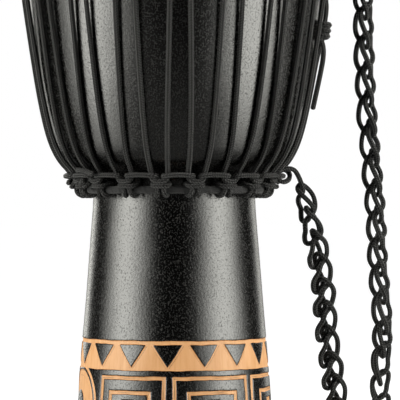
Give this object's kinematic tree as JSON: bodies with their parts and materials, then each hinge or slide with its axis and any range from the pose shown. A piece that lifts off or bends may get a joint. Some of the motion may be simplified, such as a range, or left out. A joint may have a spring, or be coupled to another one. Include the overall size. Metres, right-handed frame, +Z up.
{
  "type": "djembe",
  "caption": "Goblet-shaped wooden hand drum with a goatskin head on steel rings, pulled down by a laced and knotted rope, with the spare rope hanging as a chain.",
  "frame": {"origin": "centre of the foot's flat end, on the floor", "axes": "+Z up the drum to its head, -Y its front, +X the side where the spare rope hangs"},
  "size_m": [0.3938, 0.351, 0.6111],
  "materials": {
    "lacquered_wood": "black lacquer, satin gloss, with a belt carved through to bare tan wood",
    "goatskin": "shaved translucent goatskin, matt",
    "steel_ring": "black painted steel rod",
    "ring_cloth": "grey-purple cotton strip wound round the ring",
    "black_rope": "black braided polyester rope"
  },
  "bodies": {
    "shell": {"wood_shell": "lacquered_wood", "drum_skin": "goatskin", "lower_ring": "steel_ring", "lower_ring_wrap": "ring_cloth", "lower_cradle_rope": "black_rope", "tension_rope": "black_rope", "rope_tail_knot": "black_rope", "spare_rope_chain": "black_rope"},
    "head_rings": {"flesh_ring": "steel_ring", "crown_ring": "steel_ring", "crown_ring_wrap": "ring_cloth", "upper_cradle_rope": "black_rope"}
  },
  "joints": [
    {"name": "head_tuning", "type": "slide", "parent": "shell", "child": "head_rings", "axis": [0, 0, -1], "range_m": [0, 0.008], "deforming": ["drum_skin", "tension_rope"]}
  ]
}
